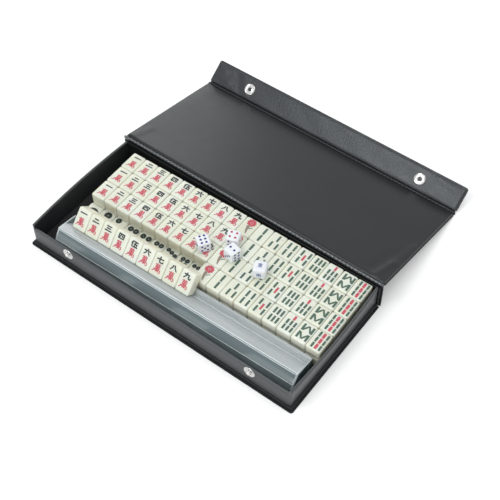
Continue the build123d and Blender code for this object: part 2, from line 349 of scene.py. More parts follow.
def even(low, high, step):
    """Even stops from low to high, about step apart."""
    count = max(1, round((high - low) / step))
    return [low + (high - low) * k / count for k in range(count + 1)]


# The same vinyl wrapped over an edge: stretched smoother and a little glossier than on a panel.
# The front wall's cover is duller, rubbed by the flap that closes over it, and a lighter grey: painted
# light for the stronger light falling on the front face.
wall_vinyl = vinyl("vinyl_wrapped_over_board", "#222325", "#2b2c2e", 0.36, 0.0014, 0.12, 0.7)
front_vinyl_painted_lighter = vinyl("vinyl_rubbed_by_the_flap", "#2c2e30", "#393b3d", 0.44, 0.0014, 0.2, 0.68)
ENDS_ROUND = (0, 0.1, 0.3, 0.6, 1.0)
walls = []
for side, hand in (("left", -1), ("right", 1)):
    rings = []
    middle = even(FRONT_FACE + 1.6, BACK_FACE - 1.6, 2.5)
    stops = [FRONT_FACE + r for r in ENDS_ROUND] + middle + [BACK_FACE - r for r in reversed(ENDS_ROUND)]
    for y in stops:
        from_end = min(y - FRONT_FACE, BACK_FACE - y)
        cut = 1 - sqrt(1 - (1 - from_end) ** 2) if from_end < 1 else 0
        swell = 1 - ((2 * y - FRONT_FACE - BACK_FACE) / (BACK_FACE - FRONT_FACE)) ** 2
        ring = []
        for inward, up in wall_section(SIDE_TOP, WALL):
            bow = SIDE_BOW * swell * (up - WALL_FOOT) / (SIDE_TOP - WALL_FOOT)
            ring.append((hand * (SIDE_OUT - max(inward, 0.9 * cut) + bow), y, up))
        rings.append(ring)
    walls.append((side, rings, wall_vinyl))
for side, outside, inward_is, top, wide in (
    ("front", FRONT_FACE, 1, FRONT_TOP, WALL),
    ("back", BACK_FACE, -1, SIDE_TOP, BACK_STRIP),
):
    rings = []
    for x in even(WALL - SIDE_OUT, SIDE_OUT - WALL, 3.0):
        sag = 0.12 * sin(x / 31 + 1) + 0.08 * sin(x / 11)
        rings.append([(x, outside + inward_is * (inward + sag * 0.5), up + sag * (up - WALL_FOOT) / top)
                      for inward, up in wall_section(top, wide)])
    walls.append((side, rings, front_vinyl_painted_lighter if side == "front" else outer_vinyl))
for side, rings, finish in walls:
    cover = lofted("tray_" + side + "_wall_vinyl", rings, [finish])
    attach(cover, "case")
    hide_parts("tray_" + side + "_cover")

# Tray lining: a sheet of dull black paper glued on the bottom between the walls, so that the glue
# and the walls' feet do not show.
black_paper, tree, shader, own = start_finish("black_lining_paper")
pulp = noise(tree, own, 1 / 0.002, 8.0)
wire(tree, shader, {"Base Color": tinted(tree, pulp, "#101011", "#1b1b1c"), "Roughness": 0.9,
                    "Normal": relief(tree, pulp, 0.5)})
give(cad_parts["tray_lining"], black_paper)

# Lid: the largest welded panel, lying open behind the tray with its inner face up. The vinyl is
# loose on the board, with a fold where it has been bent beside the hinge.
AXIS_Y = 68.0
AXIS_Z = 30.0
LID_SLOPE = 12.3
LID_NEAR = 1.7
LID_FAR = 132.8
LID_THICK = 3.4
LID_FOLDS = (((136, 5), (141, 30), 0.75, 3.2), ((141, 30), (143.5, 62), 0.45, 3.0),
             ((130, 12), (135, 42), -0.3, 4.5), ((120, 8), (131, 12), -0.15, 6),
             ((-143, 4), (-138, 26), 0.35, 4))


def folded(x, y, folds):
    """Height of the vinyl over its soft folds, each a start, an end, a height and a half width."""
    total, here = 0, Vector((x, y))
    for start, end, high, wide in folds:
        start, run = Vector(start), Vector(end) - Vector(start)
        along = max(0, min(1, (here - start).dot(run) / run.length_squared))
        total += high * exp(-(((here - start - run * along).length / wide) ** 2))
    return total


def lid_relief(x, y):
    """Loose vinyl over the lid's board, fullest a little before the far edge."""
    far = LID_FAR - y
    fade = pi * min(1, (far - DIP) / 50)
    full = 1 - (1 - far / DIP) ** 2 if far < DIP else 0.5 + 0.5 * cos(fade)
    full *= 1 - max(0, 1 - (HALF_WIDTH - abs(x)) / 14) ** 2
    wave = 0.10 * sin(x / 41 + 1.3) * sin(y / 23 + 0.4) + 0.06 * sin((x + 2 * y) / 57)
    return wave + folded(x, y, LID_FOLDS) + 0.15 + 0.75 * full


# The lid's inner sheet is the smoothest and has kept a soft shine.
inner_vinyl = vinyl("calendered_vinyl_inside", "#181b1c", "#1c1f20", 0.29, 0.0014, 0.045, 0.34)
LID_PLACE = Matrix.Translation((0, AXIS_Y, AXIS_Z)) @ spun(-LID_SLOPE, "X")
LID_FACE = LID_PLACE @ Matrix.Translation((0, 0, -LID_THICK / 2))
outer, inner = welded_panel("lid", LID_NEAR, LID_FAR, LID_THICK, True, True, LID_FACE,
                            (outer_vinyl, inner_vinyl), lid_relief, rolled_share, dipped_share, 1.2)
for piece, part in ((outer, "outer"), (inner, "inner")):
    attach(piece, "lid")
    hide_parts("lid_" + part + "_skin")

# Lid crease: where both sheets are welded to each other between the spine and the lid, so that they
# bend there. The hot wheel leaves a bead with one lump every 4.2 mm, and a thin web wraps it behind.
LUMP_PITCH = 4.2
BEAD_STEP = 0.35
LID_BEAD, FLAP_BEAD = 1.3, 0.9  # radii of the two beads
LID_WEB, FLAP_WEB = 1.45, 0.75  # inner radii of the webs round them
WEB_THICK = 0.5


def lumpy_bead(name, radius, web, place, finish):
    """Knurled bead along the X axis on a flat web, web being its corners round the bead's foot."""
    rings = []
    for x in even(-HALF_WIDTH, HALF_WIDTH, BEAD_STEP):
        beat = abs(sin(pi * x / LUMP_PITCH))
        r = radius * (0.66 + 0.34 * min(1, 1.5 * beat) ** 0.7)
        r *= min(1, 0.6 + (HALF_WIDTH - abs(x)) / 1.5)
        ring = [(x, *corner) for corner in web]
        first = atan2(web[-1][1], web[-1][0])
        last = atan2(web[0][1], web[0][0])
        if last <= first:
            last += 2 * pi
        for k in range(1, 14):
            turn = first + (last - first) * k / 14
            ring.append((x, r * cos(turn), r * sin(turn)))
        rings.append([place @ Vector(point) for point in ring])
    return lofted(name, rings, [finish], 50)


# Vinyl melted and pressed by the welding wheel: no grain left, glossier than the sheet.
welded_vinyl = vinyl("hot_welded_vinyl", "#2e3033", "#3a3c3f", 0.2, 0.003, 0.05, 1.0)
LID_AXIS = Matrix.Translation((0, AXIS_Y, AXIS_Z))
bead = lumpy_bead("lid_crease_bead", LID_BEAD,
                  ((-0.8, -0.6), (-0.8, -2.0), (0.4, -2.0), (0.4, -0.6)), LID_AXIS, welded_vinyl)
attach(bead, "case")
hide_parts("lid_crease")


def crease_web(name, centre, radius, first, last, legs, finish):
    """Thin sheet that wraps an axis from one angle to another, with straight legs at both ends."""
    rings = []
    for x in even(-HALF_WIDTH + 1, HALF_WIDTH - 1, 6.0):
        outside, inside = [], []
        turns = [radians(first + (last - first) * k / 10) for k in range(11)]
        for turn in turns:
            spoke = Vector((0, cos(turn), sin(turn)))
            outside.append(spoke * (radius + WEB_THICK))
            inside.append(spoke * radius)
        for row in (outside, inside):
            row.insert(0, row[0] + Vector((0, *legs[0])))
            row.append(row[-1] + Vector((0, *legs[1])))
        ring = outside + inside[::-1]
        rings.append([Vector((x, 0, 0)) + Vector((0, *centre)) + point for point in ring])
    return lofted(name, rings, [finish])


slope = radians(LID_SLOPE)
web = crease_web("lid_crease_web", (AXIS_Y, AXIS_Z), LID_WEB, -90, -12,
                 ((0.0, -1.6), (1.4 * cos(slope), -1.4 * sin(slope))), outer_vinyl)
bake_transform(web)

# Flap: a narrow welded panel that folds down over the front wall and holds the case shut. Here it
# stands up from the lid's far edge, creased near its left end and curled along its free edge.
FLAP_AXIS = 134.5
FLAP_RISE = 37.2
FLAP_NEAR = 1.5
FLAP_FAR = 26.5
FLAP_THICK = 2.6
FLAP_FOLDS = (((-147, 12), (-128, 9), 0.5, 2.2), ((-122, 21), (-111, 3), -0.3, 3.4),
              ((-116, 23), (-104, 6), 0.3, 3.5), ((-146, 22), (-136, 18), 0.4, 2.5),
              ((118, 22), (140, 19), 0.35, 3.0), ((112, 24), (120, 12), -0.2, 3.0))


def flap_relief(x, y):
    """Creases and curled edge of the flap's vinyl."""
    wave = 0.12 * sin(x / 19) * sin(y / 7 + 1) + 0.08 * sin(x / 6.5 + y / 4)
    return wave + folded(x, y, FLAP_FOLDS) + 0.12


# The flap's inner sheet is stretched less than the lid's, so its grain stands up and catches light.
flap_vinyl = vinyl("calendered_vinyl_flap", "#15161a", "#232529", 0.35, 0.0016, 0.5, 0.52)
FLAP_CREASE = LID_PLACE @ Matrix.Translation((0, FLAP_AXIS, 0))
flap_at = FLAP_CREASE.to_translation()
FLAP_PLACE = Matrix.Translation(flap_at) @ spun(FLAP_RISE, "X")
FLAP_FACE = FLAP_PLACE @ Matrix.Translation((0, 0, -FLAP_THICK / 2))
outer, inner = welded_panel("flap", FLAP_NEAR, FLAP_FAR, FLAP_THICK, True, True, FLAP_FACE,
                            (outer_vinyl, flap_vinyl), flap_relief, rolled_share, pad_share, 1.4)
for piece, part in ((outer, "outer"), (inner, "inner")):
    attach(piece, "flap")
    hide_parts("flap_" + part + "_skin")

# Flap crease: the same lumpy weld as the lid's, on the lid's far edge, with its web below. Its duller
# vinyl is also darker: painted shade of the crease at the flap's foot.
dull_shaded_weld = vinyl("hot_welded_vinyl_dulled", "#1a1b1d", "#222325", 0.32, 0.003, 0.05, 0.5)
bead = lumpy_bead("flap_crease_bead", FLAP_BEAD,
                  ((-0.6, 0.0), (-1.7, 0.0), (-1.7, -1.2), (0.0, -1.2)), FLAP_CREASE, dull_shaded_weld)
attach(bead, "lid")
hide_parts("flap_crease")
web = crease_web("flap_crease_web", (flap_at.y, flap_at.z), FLAP_WEB, 260 - LID_SLOPE, 317,
                 ((-1.3 * cos(slope), 1.3 * sin(slope)), (1.1, 0.84)), outer_vinyl)
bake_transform(web)

# Snap fasteners: nickel-plated brass pressed from sheet. Two studs are riveted through the front
# wall over washers, and two ring sockets through the flap into domed caps.
SNAP_X = 102.5
STUD_HIGH = 17.0
SOCKET_OUT = 13.0


def turned(name, outline, place, finish, segments=56):
    """A pressed metal piece: its (radius, height) outline turned round the Z axis."""
    points, faces = [], []
    count = len(outline)
    for k in range(segments):
        turn = 2 * pi * k / segments
        for r, z in outline:
            points.append(place @ Vector((r * cos(turn), r * sin(turn), z)))
    for k in range(segments):
        for i in range(count - 1):
            at, beside = k * count + i, (k + 1) % segments * count + i
            faces.append(((at, at + 1, beside + 1, beside), 0))
    piece = build(name, points, faces, [finish], 40)
    tidy = bmesh.new()
    tidy.from_mesh(piece.data)
    bmesh.ops.remove_doubles(tidy, verts=tidy.verts, dist=1e-6)
    bmesh.ops.recalc_face_normals(tidy, faces=tidy.faces)
    tidy.to_mesh(piece.data)
    tidy.free()
    return piece


def joined(name, pieces):
    """One piece from several that are a single pressing or a pair of the same fastener."""
    whole = bmesh.new()
    for piece in pieces:
        whole.from_mesh(piece.data)
    mesh = bpy.data.meshes.new(name)
    whole.to_mesh(mesh)
    whole.free()
    for finish in pieces[0].data.materials:
        mesh.materials.append(finish)
    mesh.shade_smooth()
    mesh.set_sharp_from_angle(angle=radians(40))
    for piece in pieces:
        bpy.data.objects.remove(piece)
    return put(name, mesh)


# Bright nickel plate: mirror-like, with faint rubbing and pits about 0.4 mm across from use.
nickel, tree, shader, own = start_finish("bright_nickel_plate")
rub = noise(tree, own, 1 / 0.0012, 6.0)
wire(tree, shader, {"Base Color": tinted(tree, rub, "#d9d9d6", "#c9c9c8"), "Metallic": 1.0,
                    "Roughness": spread(tree, rub, 0.06, 0.15, 0.35, 0.65),
                    "Normal": relief(tree, noise(tree, own, 1 / 0.0004, 2.0), 0.12, 5e-5)})
STUD = [(0, 2.55), (0.5, 2.62), (1.0, 2.75), (1.6, 2.6), (2.1, 2.2), (2.3, 1.75), (2.15, 1.3),
        (1.75, 1.0), (1.7, 0.8), (2.2, 0.5), (3.0, 0.3), (3.9, 0.28), (4.7, 0.45), (5.3, 0.6),
        (5.65, 0.45), (5.8, 0.2), (5.8, 0.0), (1.2, 0.0), (1.2, -2.85), (0, -2.85)]
SOCKET = [(2.0, 0.1), (2.0, 3.0), (2.15, 3.2), (2.6, 3.12), (3.1, 2.95), (3.8, 2.92), (4.4, 3.05),
          (5.0, 3.35), (5.35, 3.48), (5.6, 3.35), (5.7, 3.0), (5.7, 2.72), (2.6, 2.72), (2.6, 0.1),
          (2.0, 0.1)]
CAP = [(0, -0.72), (2.0, -0.7), (3.6, -0.64), (5.0, -0.5), (5.7, -0.3), (6.0, -0.05), (5.8, 0.0),
       (0, 0.0)]
SPRING = [(0.9, 2.0), (1.0, 2.35), (1.25, 2.5), (1.5, 2.35), (1.6, 2.0), (1.25, 1.9), (0.9, 2.0)]
studs, sockets, caps = [], [], []
for side in (-1, 1):
    on_wall = Matrix.Translation((side * SNAP_X, FRONT_FACE, STUD_HIGH))
    studs.append(turned("stud", STUD, on_wall @ spun(90, "X"), nickel))
    on_flap = FLAP_FACE @ Matrix.Translation((side * SNAP_X, SOCKET_OUT, 0))
    sockets.append(turned("socket", SOCKET, on_flap, nickel))
    sockets.append(turned("spring", SPRING, on_flap, nickel))
    caps.append(turned("cap", CAP, on_flap, nickel))
for name, pieces, solid, body in (
    ("snap_stud_pressings", studs, "snap_studs", "case"),
    ("snap_socket_pressings", sockets, "snap_sockets", "flap"),
    ("snap_cap_pressings", caps, "snap_caps", "flap"),
):
    piece = joined(name, pieces)
    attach(piece, body)
    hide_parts(solid)
give(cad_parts["stud_washers"], nickel)

# Tiles: urea resin pressed in moulds, ground flat and tumbled until every edge is round. Each sign
# is pressed into the face and filled with green, red, blue or brown enamel.
TILE_WIDE = 14.75
TILE_LONG = 21.2
TILE_THICK = 11.7
TILE_ROUND = 1.7
PRINT_UP = 0.03
BATCH_TONES = 0.55  # how much one tile may be darker than another
NUDGE, TWIST = 0.06, 0.2  # how far a tile may lie off its place and how many degrees askew
COAT_STEP = 0.0006  # each stroke lies this much over the one before, so that none coincide
STACK_CORNER = (-128.9, 58.0, 0)  # back left corner of the tiles, which lie a little askew
STACK = Matrix.Translation(STACK_CORNER) @ spun(1.1, "Z")
LOWER, UPPER = 4.5, 16.3  # undersides of the two layers
PITCH = 15.0
ROW = 21.4
ROWS_BACK = 1.2
ROW_SLIP = (0.1, 0.5, 0.5, 0.3)  # how far each row has slid to the right
DARK, GREEN, RED, BLUE, BROWN = 1, 2, 3, 4, 5


def resin(name, face, body, glow):
    """Pressed resin: glossy and slightly see-through, each tile a touch different."""
    made, tree, shader, own = start_finish(name)
    printed = add(tree, "Attribute", attribute_name="printed_side").outputs["Fac"]
    batch = add(tree, "Attribute", attribute_name="batch").outputs["Fac"]
    mottle = noise(tree, own, 1 / 0.006, 4.0)
    # Below the printed face the tiles' sides take the body colour, a warmer cream that is painted warm
    # light of the shaded, see-through gaps between tiles.
    aged = tinted(tree, batch, tinted(tree, printed, body, face), "#f6f3e6", "MULTIPLY")
    wire(tree, shader, {
        "Base Color": tinted(tree, mottle, aged, "#faf9f3", "MULTIPLY"),
        "Roughness": spread(tree, mottle, 0.16, 0.27),
        "Normal": relief(tree, noise(tree, own, 1 / 0.0025, 3.0), 0.06),
        "IOR": 1.54, "Subsurface Weight": glow, "Subsurface Radius": (1.0, 0.85, 0.5),
        "Subsurface Scale": 0.004,
    })
    return made


def paint(name, thin, thick):
    """Enamel paint wiped into a pressed sign: satin, thinner where the brush ran dry."""
    made, tree, shader, own = start_finish(name)
    dry = noise(tree, own, 1 / 0.0012, 3.0)
    wire(tree, shader, {"Base Color": tinted(tree, dry, thick, thin), "Roughness": 0.38,
                        "Normal": relief(tree, dry, 0.2, 5e-5)})
    return made


def brush(points, wide, tail=0.2):
    """Outline of one brush stroke, fullest where it starts and narrower to its end."""
    points = [Vector(p) for p in points]
    left, right = [], []
    for at, here in enumerate(points):
        before = (here - points[at - 1]) if at else (points[1] - here)
        after = (points[at + 1] - here) if at < len(points) - 1 else before
        before, after = before.normalized(), after.normalized()
        way = (before + after).normalized()
        side = Vector((-way.y, way.x))
        reach = wide * (1 - tail * at / (len(points) - 1)) / 2
        reach /= max(0.6, side.dot(Vector((-after.y, after.x))))
        left.append(here + side * reach)
        right.append(here - side * reach)
        if at == 0:
            left.insert(0, here - way * wide * 0.4)
        if at == len(points) - 1:
            left.append(here + way * wide * 0.4)
    return left + right[::-1]


def sign(strokes, centre, size, wide):
    """Outlines of a sign, drawn in strokes of x, y, x, y, ... on a square of ten by ten."""
    made = []
    for stroke in strokes:
        spots = [((x - 5) * size[0] / 10 + centre[0], (y - 5) * size[1] / 10 + centre[1])
                 for x, y in zip(stroke[::2], stroke[1::2])]
        made.append(brush(spots, wide))
    return made


def disc(centre, r, inner=0, count=20):
    """Outline of a painted dot, or of a ring as short arcs."""
    spots = [Vector((cos(2 * pi * k / count), sin(2 * pi * k / count)))
             for k in range(count)]
    middle = Vector(centre)
    if not inner:
        return [[middle + spot * r for spot in spots]]
    return [[middle + spots[k] * inner, middle + spots[k] * r,
             middle + spots[(k + 1) % count] * r, middle + spots[(k + 1) % count] * inner]
            for k in range(count)]


def cane(centre, length, wide=2.2, turn=0.0):
    """Outline of one bamboo stick: two lengths of cane with a swelling at each joint."""
    shape = ((-1, 0.6), (-0.9, 1), (-0.72, 0.84), (-0.22, 0.88), (-0.08, 1), (0.08, 1),
             (0.22, 0.88), (0.72, 0.84), (0.9, 1), (1, 0.6))
    spin = Matrix.Rotation(radians(turn), 2)
    left = [Vector((-w * wide / 2, t * length / 2)) for t, w in shape]
    right = [Vector((w * wide / 2, t * length / 2)) for t, w in reversed(shape)]
    return [[Vector(centre) + spin @ spot for spot in left + right]]


def canes(xs, ys, length, wide=2.2):
    """Upright bamboo sticks at every x and y."""
    return [outline for x in xs for y in ys for outline in cane((x, y), length, wide)]


NUMERALS = (
    ((0.5, 5.6, 9.5, 6.2),),
    ((2.4, 7.6, 7.6, 7.9), (0.6, 3, 9.4, 3.4)),
    ((1.8, 8.7, 8.2, 9), (2.5, 5.3, 7.5, 5.6), (0.6, 1.7, 9.4, 2.1)),
    ((1.5, 8.5, 1.5, 1.5), (1.5, 8.5, 8.5, 8.5, 8.5, 1.5), (1.5, 1.8, 8.5, 1.8),
     (4, 8.5, 3.8, 5.5, 2.8, 3.8), (6.2, 8.5, 6.2, 4.8, 7.8, 4.4)),
    ((3, 9.5, 1, 5.5), (2.2, 7, 2.2, 0.5), (4, 8.8, 9.3, 8.8), (6.5, 8.8, 5.6, 1.2),
     (4.6, 5.2, 8.4, 5.2, 8.2, 1.2), (3.6, 1, 9.8, 1)),
    ((5, 9.8, 5.6, 8.3), (0.8, 6.8, 9.2, 6.8), (3.8, 4.8, 1.2, 0.8), (6.2, 4.8, 8.8, 0.8)),
    ((0.8, 5.2, 9.2, 6.6), (4.4, 9.5, 4.4, 2.2, 5.2, 1, 8.6, 1, 9, 3)),
    ((3.8, 8.2, 3.2, 4.5, 1, 1), (5.6, 8.8, 6.6, 5, 9.3, 1)),
    ((4.2, 9.5, 4, 5.5, 1, 0.8), (1.2, 6.8, 7, 6.8, 6.9, 2.2, 7.6, 1, 9.4, 1.2, 9.4, 3.2)),
)
TEN_THOUSAND = (
    (2, 8.8, 8, 9.1), (4, 10, 4, 8), (6.4, 10, 6.4, 8), (3, 7.4, 3, 4.6), (3, 7.4, 7.4, 7.4, 7.4, 4.6),
    (3, 6, 7.4, 6), (3, 4.7, 7.4, 4.7), (5.2, 7.4, 5, 2.4, 4, 1), (5, 3.6, 2.2, 2.4, 0, 0.2),
    (1.2, 3.3, 8.8, 3.5, 9.4, 1.6, 8.2, 0.2), (4, 1.7, 7, 2), (6.2, 2.8, 7.2, 1),
)
WINDS = (
    ((0.8, 8.6, 9.2, 8.6), (5, 10, 5, 0), (2.2, 7.4, 2.2, 3.8), (2.2, 7.4, 7.8, 7.4, 7.8, 3.8),
     (2.2, 5.6, 7.8, 5.6), (2.2, 3.8, 7.8, 3.8), (4.8, 3.8, 0.8, 0.8), (5.2, 3.8, 9.2, 0.8)),
    ((0.8, 8.4, 9.2, 8.4), (5, 10, 5, 7), (1.4, 0, 1.4, 6.8, 8.6, 6.8, 8.6, 0.4), (3.6, 6.2, 4.2, 5.2),
     (6.4, 6.2, 5.8, 5.2), (3, 4.6, 7, 4.6), (2.8, 3, 7.2, 3), (5, 4.6, 5, 0.6)),
    ((0.8, 9.2, 9.2, 9.2), (1.6, 0.6, 1.6, 7, 8.4, 7, 8.4, 0.6), (1.6, 1, 8.4, 1),
     (4, 9.2, 4, 6, 2.8, 4), (6, 9.2, 6, 4.4, 7.6, 4.2)),
    ((0.8, 6.4, 3.6, 6.4), (3.6, 9.6, 3.6, 0.4), (0.6, 1.2, 3.6, 2.6), (9, 7.4, 6.2, 5.6),
     (6.2, 9.6, 6.2, 1.2, 7, 0.6, 9, 0.6, 9.4, 2.4)),
)
CENTRE = (
    (1.4, 7.6, 1.4, 3.2), (1.4, 7.6, 8.6, 7.6, 8.6, 3.2), (1.4, 3.6, 8.6, 3.6), (5, 10, 5, 0),
)
FORTUNE = (
    (1, 9.4, 4, 9.4, 1, 6), (1.6, 8, 3, 7), (5.4, 10, 6.4, 8, 9.2, 6), (8.4, 9.4, 6.6, 8),
    (9.4, 8.2, 7.4, 7), (1.4, 4.8, 3.8, 4.8, 3.8, 3.2, 1.4, 3.2, 1.4, 1.6, 3.8, 1.6, 3.4, 0.2),
    (5.6, 5.4, 5.4, 3.8, 4.8, 3.2), (5.6, 5.4, 7.8, 5.4, 7.8, 4, 9, 4), (5.2, 2.6, 8.4, 2.6, 5, 0),
    (6, 2, 9.2, 0),
)
PANEL = (
    (0.5, 9.6, 9.5, 9.6), (9.5, 10, 9.5, 0), (9.5, 0.4, 0.5, 0.4), (0.5, 0, 0.5, 10),
)
DIGITS = (
    ((4, 7.5, 5.2, 9.4, 5.2, 0.6),),
    ((2.4, 7.4, 3.6, 9.2, 6.4, 9.2, 7.4, 7.4, 6.2, 4.8, 2.4, 0.8, 7.8, 0.8),),
    ((2.6, 9.2, 7.4, 9.2, 4.8, 5.6, 7.4, 4, 7, 1.4, 4.6, 0.6, 2.4, 1.8),),
    ((6.2, 0.6, 6.2, 9.2, 2, 3.4, 8.2, 3.4),),
)


def inked(outlines, ink):
    """Outlines with the enamel that fills them."""
    return [(outline, ink) for outline in outlines]


def spokes(count, reach, first=0):
    """Points spaced evenly round the middle, with the first turned from straight up."""
    return [Matrix.Rotation(radians(360 / count * k + first), 2) @ Vector((0, reach))
            for k in range(count)]


def character_face(column, _row=0):
    """Numeral at the back of the face and the sign for ten thousand before it."""
    return (inked(sign(NUMERALS[column], (-0.3, 5.3), (8.0, 6.0), 1.35), DARK)
            + inked(sign(TEN_THOUSAND, (-0.3, -2.9), (8.8, 8.3), 0.95), RED))


def bamboo_face(column, _row):
    """Bamboo sticks in their set patterns; the first tile shows a bird with its tail spread."""
    green, red, brown = [], [], []
    if column == 0:
        head = Vector((-0.5, 4.9))
        for away in spokes(9, 1, 8):
            feather = [head + Vector((away.x * 1.08, away.y)) * reach for reach in (1.5, 3.5)]
            red.append(brush(feather, 1.35, -0.7))
        red += disc(head, 1.0, 0, 14)
        brown.append(brush(((-1.1, 1.0), (-0.6, -2.6), (0.7, -6.3)), 3.1, 0.6))
        green.append(brush(((0.9, -1.4), (2.4, 0.2), (3.6, 0.4)), 0.9, 0.5))
    elif column == 1:
        green = canes((0,), (4.0, -4.0), 7.1, 2.4)
    elif column == 2:
        green = cane((0, 4.1), 6.6) + canes((-2.9, 2.9), (-3.8,), 6.6)
    elif column == 3:
        green = canes((-2.7, 2.7), (3.9, -3.9), 6.7)
    elif column == 4:
        green, red = canes((-3.6, 3.6), (4.0, -4.0), 6.2), cane((0, 0), 6.4, 2.1)
    elif column == 5:
        green = canes((-3.5, 0, 3.5), (3.9, -3.9), 6.2)
    elif column == 6:
        green, red = canes((-3.6, 0, 3.6), (0.7, -4.9), 4.9), cane((0, 5.9), 4.5)
    elif column == 7:
        for y, flip in ((3.9, -1), (-3.9, 1)):
            green += canes((-4.2, 4.2), (y,), 6.6)
            green += cane((-1.7, y), 6.2, 1.7, 33 * flip) + cane((1.7, y), 6.2, 1.7, -33 * flip)
    else:
        for y in (5.6, 0, -5.6):
            green += canes((-3.6, 3.6), (y,), 5.0)
            red += cane((0, y), 5.0, 2.7)
    drawn = inked(green, GREEN) + inked(red, RED) + inked(brown, BROWN)
    return [([(x * 1.05, y * 1.1) for x, y in outline], ink) for outline, ink in drawn]


CIRCLES = (  # the rows of each tile's rings: y, enamel and every x
    ((0, DARK, 0),),
    ((6.2, DARK, 0), (-5, GREEN, 0)),
    ((7.2, DARK, -3), (0, RED, 0), (-6, GREEN, 3.4)),
    ((6.6, DARK, -3, 3), (-5.4, GREEN, -3, 3)),
    ((6.6, DARK, -3.2, 3.2), (0, RED, 0), (-6, GREEN, -3.2, 3.2)),
    ((7.2, DARK, -2.6, 2.6), (-0.6, RED, -2.6, 2.6), (-6, RED, -2.6, 2.6)),
    ((8, DARK, -4.4), (6.9, DARK, 0), (5.4, DARK, 4.4), (-1.4, RED, -2.4, 2.4),
     (-6.6, RED, -2.4, 2.4)),
    ((7.3, DARK, -2.4, 2.4), (2.5, DARK, -2.4, 2.4), (-2.5, DARK, -2.4, 2.4), (-7.4, DARK, -2.4, 2.4)),
    ((7.0, DARK, -4.3, 0, 4.3), (0, RED, -4.3, 0, 4.3), (-6.4, GREEN, -4.3, 0, 4.3)),
)
CIRCLE_R = (6.2, 3.9, 3.0, 2.95, 2.9, 2.6, 2.25, 2.35, 2.15)


def circle_face(column, _row):
    """Thick rings, as many as the tile's number."""
    made = []
    r = CIRCLE_R[column]
    hole = r * (0.12 if column else 0.6)
    for y, ink, *xs in CIRCLES[column]:
        for x in xs:
            made += inked(disc((x, y), r, hole), ink)
    if column == 0:
        for away in spokes(8, 2.65):
            made += inked(disc(away, 0.55, 0, 10), RED)
    return made


def honour_face(column, row):
    """Four winds, three dragons, and in the last two columns a numbered flower."""
    if column < 4:
        return inked(sign(WINDS[column], (0, 0), (10, 13), 1.1), DARK)
    if column == 4:
        return inked(sign(CENTRE, (0, 0), (9.6, 13), 1.4), RED)
    if column == 5:
        return inked(sign(FORTUNE, (0, 0), (10.4, 13), 0.95), GREEN)
    if column == 6:
        return inked(sign(PANEL, (0, 0), (10.4, 15.6), 0.8), BLUE)
    ink = RED if column == 7 else BLUE
    middle = Vector((-0.6, 1.6))
    made = []
    for away in spokes(6, 2.2):
        made += inked(disc(middle + away, 1.05, 0, 12), ink)
    made += inked(disc(middle, 0.7, 0, 12), GREEN)
    made.append((brush(((-0.6, -1.2), (0.2, -4.4), (-0.8, -8)), 0.7), GREEN))
    made.append((brush(((0.1, -4.2), (2.2, -2.6), (4.0, -2.8)), 1.3, 0.8), GREEN))
    return made + inked(sign(DIGITS[row], (4.4, 7.4), (3.4, 4.4), 0.7), ink)


def tumbled_block(size, radius):
    """Points and faces of a block with every edge rounded, its corner at the origin."""
    shaped = bmesh.new()
    bmesh.ops.create_cube(shaped, size=1)
    bmesh.ops.scale(shaped, vec=size, verts=shaped.verts)
    bmesh.ops.translate(shaped, vec=[s / 2 for s in size], verts=shaped.verts)
    bmesh.ops.bevel(shaped, geom=shaped.edges[:], offset=radius, segments=5, profile=0.5,
                    affect="EDGES", clamp_overlap=True)
    shaped.verts.ensure_lookup_table()
    points = [vert.co.copy() for vert in shaped.verts]
    faces = [tuple(vert.index for vert in face.verts) for face in shaped.faces]
    shaped.free()
    return points, faces


def tile_piece(name, places, drawings, signs_at):
    """One row of tiles, each at its own place, their painted signs signs_at off the face's middle."""
    block_points, block_faces = tumbled_block((TILE_WIDE, TILE_LONG, TILE_THICK), TILE_ROUND)
    points, faces, printed, batch = [], [], [], []
    for place, drawing in zip(places, drawings):
        shade = random.uniform(0, BATCH_TONES)
        first = len(points)
        points += [place @ point for point in block_points]
        # 1 on the face and its top edges, 0 low on the sides, where the warmer body colour paints in the
        # light of the gaps.
        printed += [min(1, max(0, point.z / TILE_THICK * 4 - 2.6)) for point in block_points]
        faces += [(tuple(first + i for i in face), 0) for face in block_faces]
        for at, (outline, colour) in enumerate(drawing):
            first = len(points)
            up = TILE_THICK + PRINT_UP + COAT_STEP * at
            for x, y in outline:
                spot = Vector((x + signs_at[0] + TILE_WIDE / 2, y + signs_at[1] + TILE_LONG / 2, up))
                points.append(place @ spot)
            faces.append((tuple(range(first, len(points))), colour))
        printed += [1] * (len(points) - len(printed))
        batch += [shade] * (len(points) - len(batch))
    piece = build(name, points, faces, tile_finishes, 60)
    for attribute, values in (("printed_side", printed), ("batch", batch)):
        piece.data.attributes.new(attribute, "FLOAT", "POINT").data.foreach_set("value", values)
    return piece
